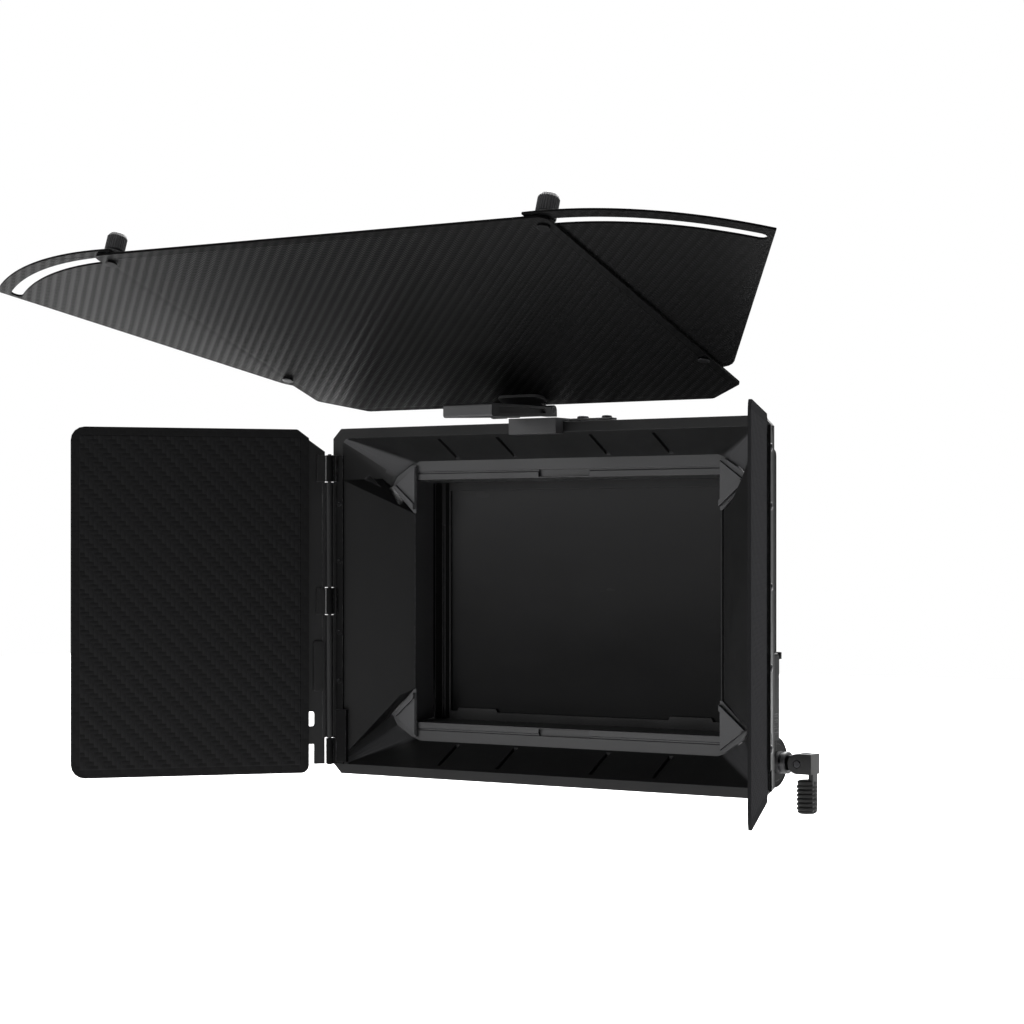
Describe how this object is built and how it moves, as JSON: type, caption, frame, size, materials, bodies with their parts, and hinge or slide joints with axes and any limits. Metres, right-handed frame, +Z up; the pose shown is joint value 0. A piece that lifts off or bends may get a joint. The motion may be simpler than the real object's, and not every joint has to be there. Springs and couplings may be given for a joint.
{
  "type": "matte box",
  "caption": "Clamp-on camera matte box: wide funnel hood, drop-in filter trays, split lens clamp, tilting top flag with fold-out wings, and hinged side flags.",
  "frame": {"origin": "on the optical axis, at the rear face of the lens clamp ring", "axes": "+Y along the optical axis towards the camera, so the hood's mouth faces -Y; +Z up; +X towards the clamp lever"},
  "size_m": [0.3701, 0.2435, 0.2406],
  "materials": {
    "moulded_nylon": "fine-textured black moulding",
    "anodised_aluminium": "matte black anodised",
    "carbon_sheet": "twill carbon fibre sheet under satin resin",
    "filter_glass": "polished dark glass",
    "black_steel": "blackened steel",
    "grip_rubber": "knurled black rubber"
  },
  "bodies": {
    "root": {"hood_shell": "moulded_nylon", "hood_gusset_lower_left": "moulded_nylon", "hood_gusset_upper_left": "moulded_nylon", "hood_gusset_lower_right": "moulded_nylon", "hood_gusset_upper_right": "moulded_nylon", "hood_top_pad": "anodised_aluminium", "stage_front_frame": "anodised_aluminium", "stage_side_left": "anodised_aluminium", "stage_side_right": "anodised_aluminium", "tray_guide_left": "moulded_nylon", "tray_guide_right": "moulded_nylon", "stage_floor": "anodised_aluminium", "back_plate": "anodised_aluminium", "back_plate_screw_1": "black_steel", "back_plate_screw_2": "black_steel", "back_plate_screw_3": "black_steel", "back_plate_screw_4": "black_steel", "clamp_ring": "anodised_aluminium", "clamp_nut": "black_steel", "catch_pin": "black_steel", "flag_clamp_block": "anodised_aluminium", "flag_bracket_arm": "anodised_aluminium", "flag_tilt_pin": "black_steel", "hinge_strip_left": "anodised_aluminium", "hinge_strip_right": "anodised_aluminium", "hinge_pin_left": "black_steel", "hinge_pin_right": "black_steel"},
    "tray_1": {"tray_1_frame": "moulded_nylon", "tray_1_filter": "filter_glass", "tray_1_spring_left": "black_steel", "tray_1_spring_right": "black_steel"},
    "tray_2": {"tray_2_frame": "moulded_nylon", "tray_2_filter": "filter_glass", "tray_2_spring_left": "black_steel", "tray_2_spring_right": "black_steel"},
    "tray_catch": {"tray_catch": "moulded_nylon"},
    "clamp_spindle": {"clamp_spindle": "black_steel", "clamp_wheel": "anodised_aluminium", "lever_pin": "black_steel"},
    "clamp_lever": {"clamp_lever": "anodised_aluminium", "lever_grip": "grip_rubber"},
    "flag_tilt_knob": {"flag_tilt_knob": "anodised_aluminium"},
    "top_flag": {"top_flag_panel": "carbon_sheet", "flag_hinge_leaf": "anodised_aluminium", "wing_pivot_screw_left": "black_steel", "wing_pivot_screw_right": "black_steel", "wing_stud_left": "black_steel", "wing_stud_right": "black_steel"},
    "wing_left": {"wing_left": "carbon_sheet"},
    "wing_right": {"wing_right": "carbon_sheet"},
    "wing_knob_left": {"wing_knob_left": "anodised_aluminium"},
    "wing_knob_right": {"wing_knob_right": "anodised_aluminium"},
    "side_flag_left": {"side_flag_left": "carbon_sheet", "side_leaf_left": "anodised_aluminium", "side_pad_left": "moulded_nylon"},
    "side_flag_right": {"side_flag_right": "carbon_sheet", "side_leaf_right": "anodised_aluminium", "side_pad_right": "moulded_nylon"}
  },
  "joints": [
    {"name": "tray_1_slide", "type": "slide", "parent": "root", "child": "tray_1", "axis": [0, 0, 1], "range_m": [0, 0.14]},
    {"name": "tray_2_slide", "type": "slide", "parent": "root", "child": "tray_2", "axis": [0, 0, 1], "range_m": [0, 0.14]},
    {"name": "tray_catch_swing", "type": "hinge", "parent": "root", "child": "tray_catch", "pos_m": [0.0871, -0.03475, -0.022], "axis": [0, -1, 0], "range_deg": [0, 22], "stiffness_Nm_per_rad": 0.02, "springref_deg": -20.05},
    {"name": "clamp_spindle_turn", "type": "hinge", "parent": "root", "child": "clamp_spindle", "pos_m": [0, -0.012, -0.069], "axis": [1, 0, 0], "continuous": true},
    {"name": "clamp_lever_fold", "type": "hinge", "parent": "clamp_spindle", "child": "clamp_lever", "pos_m": [0.0915, -0.012, -0.069], "axis": [0, -1, 0], "range_deg": [0, 100]},
    {"name": "flag_tilt_knob_turn", "type": "hinge", "parent": "root", "child": "flag_tilt_knob", "pos_m": [-0.012, -0.0853, 0.0823], "axis": [1, 0, 0], "range_deg": [0, 180]},
    {"name": "top_flag_tilt", "type": "hinge", "parent": "root", "child": "top_flag", "pos_m": [0, -0.0853, 0.0823], "axis": [-1, 0, 0], "range_deg": [-18, 40]},
    {"name": "wing_left_fold", "type": "hinge", "parent": "top_flag", "child": "wing_left", "pos_m": [-0.103, -0.12074, 0.09919], "axis": [0, 0.3239, 0.9461], "range_deg": [0, 36]},
    {"name": "wing_right_fold", "type": "hinge", "parent": "top_flag", "child": "wing_right", "pos_m": [0.103, -0.12074, 0.09919], "axis": [0, -0.3239, -0.9461], "range_deg": [0, 36]},
    {"name": "wing_knob_left_turn", "type": "hinge", "parent": "top_flag", "child": "wing_knob_left", "pos_m": [-0.1014, -0.23539, 0.14003], "axis": [0, 0.3239, 0.9461], "range_deg": [0, 180]},
    {"name": "wing_knob_right_turn", "type": "hinge", "parent": "top_flag", "child": "wing_knob_right", "pos_m": [0.1014, -0.23539, 0.14003], "axis": [0, 0.3239, 0.9461], "range_deg": [0, 180]},
    {"name": "side_flag_left_swing", "type": "hinge", "parent": "root", "child": "side_flag_left", "pos_m": [-0.1106, -0.0812, 0], "axis": [0, 0, 1], "range_deg": [-50, 100]},
    {"name": "side_flag_right_swing", "type": "hinge", "parent": "root", "child": "side_flag_right", "pos_m": [0.1106, -0.0812, 0], "axis": [0, 0, 1], "range_deg": [-82, 68]}
  ]
}
